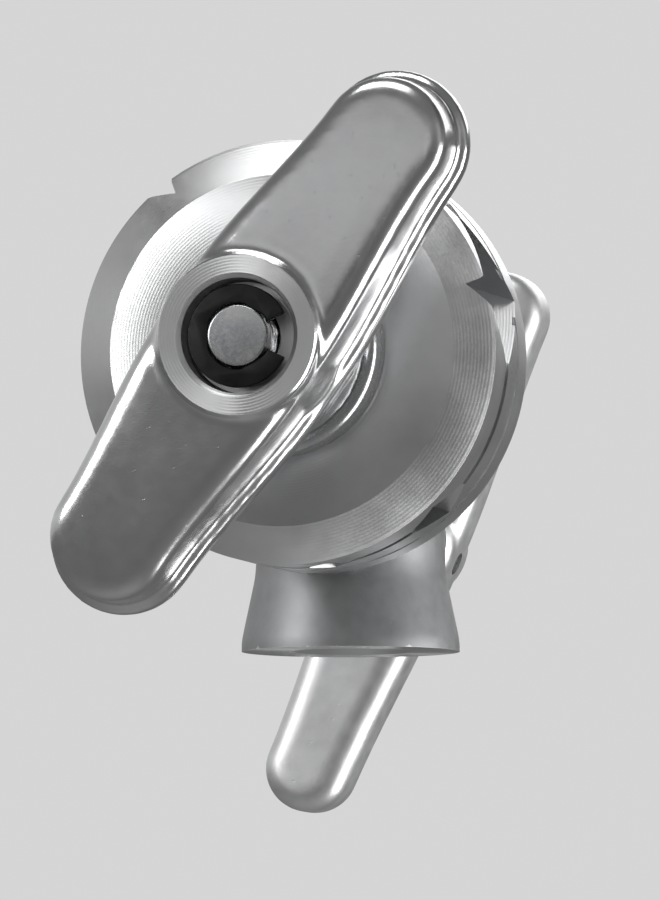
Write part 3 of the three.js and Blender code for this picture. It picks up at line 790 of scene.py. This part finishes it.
def lock_wing():
    start, end, radius = LOCK_HUB
    middle, half, edge = (start + end) / 2, LOCK_WING_THICKNESS / 2, 3.5
    upper = [(edge * (1 - math.cos(a)), half - edge + edge * math.sin(a))
             for a in (math.pi / 2 * i / 6 for i in range(6))] + [(3.7, half)]
    levels = [(inset, middle - z) for inset, z in reversed(upper)]
    levels += [(inset, middle + z) for inset, z in upper]
    wing = wing_shape(*LOCK_WING, levels, SATIN)
    hub = lathe([(0, start - 0.6), (radius - 1.2, start - 0.6), (radius, start + 1.5),
                 (radius, end - 2)] + round_edge(radius, end, 2) + [(0, end)], SATIN)
    handle = fuse([wing, hub], voxel=0.45, passes=6)
    pin_hole = rod(ROLL_PIN[1] + SLACK, -radius - 3, radius + 3, BORED, 32)
    carve(
        handle,
        rod(radius + 3, start - 3, start, BORED),
        rod(LOCK_HOLE_RADIUS, start - 1, end - 3, BORED),
        set_in(pin_hole, across_hub()),
    )
    return finish_piece(handle, "lock_wing", "stud_lock_wing", "lock_screw", LOCK)


def lock_screw():
    start, end = LOCK_SCREW
    hub_start = LOCK_HUB[0]
    thread = threaded(LOCK_SCREW_RADIUS, LOCK_PITCH, start, hub_start + 2.5, ZINC, lead=0.8)
    shank = rod(LOCK_SCREW_RADIUS, hub_start + 1, end, ZINC)
    pin_hole = rod(ROLL_PIN[1] + SLACK, -6, 6, ZINC, 32)
    carve(thread, shank, how="UNION")
    carve(thread, set_in(pin_hole, across_hub()))
    return finish_piece(thread, "lock_thread", "stud_lock_screw", "lock_screw", LOCK)


def roll_pin():
    """Sprung tube with a slot along one side."""
    half = LOCK_HUB[2] - 0.5
    pin = tube(*ROLL_PIN, -half, half, WIRE, 40)
    slot = [(0.3, -0.3), (3, -0.3), (3, 0.3), (0.3, 0.3)]
    carve(pin, prism(slot, -half - 1, half + 1, WIRE))
    soften(pin, 0.08, 2)
    set_in(pin, across_hub())
    return finish_piece(pin, "roll_pin", "stud_lock_pin", "lock_screw", LOCK)


def brass_pad():
    start, end, radius = PAD
    pad = lathe([(0, start), (radius - 1, start), (radius - 0.3, start + 0.3), (radius, start + 1),
                 (radius, end - 0.3), (radius - 0.3, end), (0, end)], BRASS, 48)
    return finish_piece(pad, "brass_pad", "stud_pad", "lock_pad", LOCK)


# ---- stage, light and camera ----

# An azimuth of 0 faces the handle and grows to the right. All angles are in degrees.
FLOOR_HEIGHT = -0.9  # metres
FLOOR_REACH = 30
SKY = [  # height from 0 straight down to 1 straight up, and its grey
    (0.0, 0.06), (0.42, 0.1), (0.5, 0.4), (0.6, 0.6), (0.68, 0.5), (0.8, 0.17), (1.0, 0.14),
]
SHADES = [  # (azimuth, elevation), share of light kept, cosines at its edge and at its full depth
    ((8, -12), 0.2, 0.87, 0.97),
    ((-26, -8), 0.35, 0.9, 0.98),
    ((57, 2), 0.3, 0.84, 0.97),
    ((132, 5), 0.3, 0.6, 0.85),
]
BACKDROP = (0.665, 0.667, 0.665, 1)  # the surround as the camera sees it
SOFTBOXES = [  # name, (azimuth, elevation), metres away, width and height in metres, watts
    ("key", (-46, 13), 0.6, 0.36, 0.2, 0.95),
    ("strip", (96, -22), 0.6, 0.3, 0.6, 2.8),
    ("top", (-10, 75), 0.6, 0.4, 0.25, 1.0),
    ("back", (165, 30), 0.7, 0.6, 0.4, 1.2),
]
CAMERA_HEADING = (13, -4)
CAMERA_DISTANCE = 1.8  # metres
VIEW_HEIGHT = 0.136  # metres seen from top to bottom at that distance


def floor():
    """Pale ground below the hanging head. A glow that only the camera sees keeps it pale."""
    bm = bmesh.new()
    for x, y in ((-1, -1), (1, -1), (1, 1), (-1, 1)):
        bm.verts.new((x * FLOOR_REACH, y * FLOOR_REACH, FLOOR_HEIGHT))
    bm.faces.new(bm.verts)
    mesh = bpy.data.meshes.new("floor")
    bm.to_mesh(mesh)
    bm.free()
    material, nodes, links, bsdf = shader("pale_floor")
    tone = tinted(nodes, links, noise(nodes, links, 6, 2), (0.6, 0.6, 0.595), (0.66, 0.66, 0.655))
    links.new(tone, bsdf.inputs["Base Color"])
    bsdf.inputs["Roughness"].default_value = 0.7
    bsdf.inputs["Emission Color"].default_value = (0.5, 0.5, 0.498, 1)
    seen = nodes.new("ShaderNodeLightPath")
    links.new(seen.outputs["Is Camera Ray"], bsdf.inputs["Emission Strength"])
    mesh.materials.append(material)
    made = bpy.data.objects.new("floor", mesh)
    bpy.context.scene.collection.objects.link(made)


def heading(azimuth, elevation):
    """Unit vector that points away from the object."""
    turn, rise = math.radians(azimuth), math.radians(elevation)
    level = math.cos(rise)
    return Vector((math.sin(turn) * level, -math.cos(turn) * level, math.sin(rise)))


def softbox(name, direction, distance, width, height, power):
    """An area light aimed at the object."""
    out = heading(*direction)
    data = bpy.data.lights.new(name, "AREA")
    data.shape = "RECTANGLE"
    data.size, data.size_y = width, height
    data.energy = power
    light = bpy.data.objects.new(name, data)
    light.location = CENTRE + out * distance
    light.rotation_euler = out.to_track_quat("Z", "Y").to_euler()
    bpy.context.scene.collection.objects.link(light)


def studio():
    """Grey surround that is brightest above the horizon, with shaded patches, and soft boxes."""
    world = bpy.data.worlds.new("studio")
    bpy.context.scene.world = world
    world.use_nodes = True
    nodes, links = world.node_tree.nodes, world.node_tree.links
    coordinates = nodes.new("ShaderNodeTexCoord")
    split = nodes.new("ShaderNodeSeparateXYZ")
    links.new(coordinates.outputs["Generated"], split.inputs["Vector"])
    ramp = nodes.new("ShaderNodeValToRGB")
    while len(ramp.color_ramp.elements) < len(SKY):
        ramp.color_ramp.elements.new(0.5)
    for element, (position, grey) in zip(ramp.color_ramp.elements, SKY):
        element.position = position
        element.color = (grey, grey, grey * 1.005, 1)
    links.new(spread(nodes, links, split.outputs["Z"], 0, 1, -1, 1), ramp.inputs["Fac"])
    shade = None
    for direction, share, outside, inside in SHADES:
        towards = nodes.new("ShaderNodeVectorMath")
        towards.operation = "DOT_PRODUCT"
        links.new(coordinates.outputs["Generated"], towards.inputs[0])
        towards.inputs[1].default_value = heading(*direction)
        patch = spread(nodes, links, towards.outputs["Value"], 1, share, outside, inside)
        shade = patch if shade is None else product(nodes, links, shade, patch)
    dimmed = nodes.new("ShaderNodeVectorMath")
    dimmed.operation = "SCALE"
    links.new(ramp.outputs["Color"], dimmed.inputs[0])
    links.new(shade, dimmed.inputs["Scale"])
    seen = nodes.new("ShaderNodeLightPath")
    pale = nodes.new("ShaderNodeMix")
    pale.data_type = "RGBA"
    pale.inputs["B"].default_value = BACKDROP
    links.new(seen.outputs["Is Camera Ray"], pale.inputs["Factor"])
    links.new(dimmed.outputs["Vector"], pale.inputs["A"])
    links.new(pale.outputs["Result"], nodes["Background"].inputs["Color"])
    for box in SOFTBOXES:
        softbox(*box)
    bpy.context.scene.view_settings.view_transform = "Standard"


def camera():
    out = heading(*CAMERA_HEADING)
    data = bpy.data.cameras.new("camera")
    data.sensor_width = 36
    data.lens = data.sensor_width * CAMERA_DISTANCE / VIEW_HEIGHT
    data.clip_end = 50
    made = bpy.data.objects.new("camera", data)
    made.location = CENTRE + out * CAMERA_DISTANCE
    made.rotation_euler = out.to_track_quat("Z", "Y").to_euler()
    bpy.context.scene.collection.objects.link(made)
    bpy.context.scene.camera = made


CENTRE = (Vector(CAD_BOX[0]) + Vector(CAD_BOX[1])) / 2

socket_casting()
inner_jaw()
outer_jaw()
for number in range(len(PIN_PLACES)):
    dowel(number)
coil_spring()
cross_bolt()
c_clip()
washer("thrust_washer_inner", "outer_jaw")
washer("thrust_washer_outer", "thrust_plate")
roller_cage()
for number in range(ROLLER_COUNT):
    roller(number)
pressed_cover()
t_handle()
insert_nut()
lock_wing()
lock_screw()
roll_pin()
brass_pad()
floor()
studio()
camera()
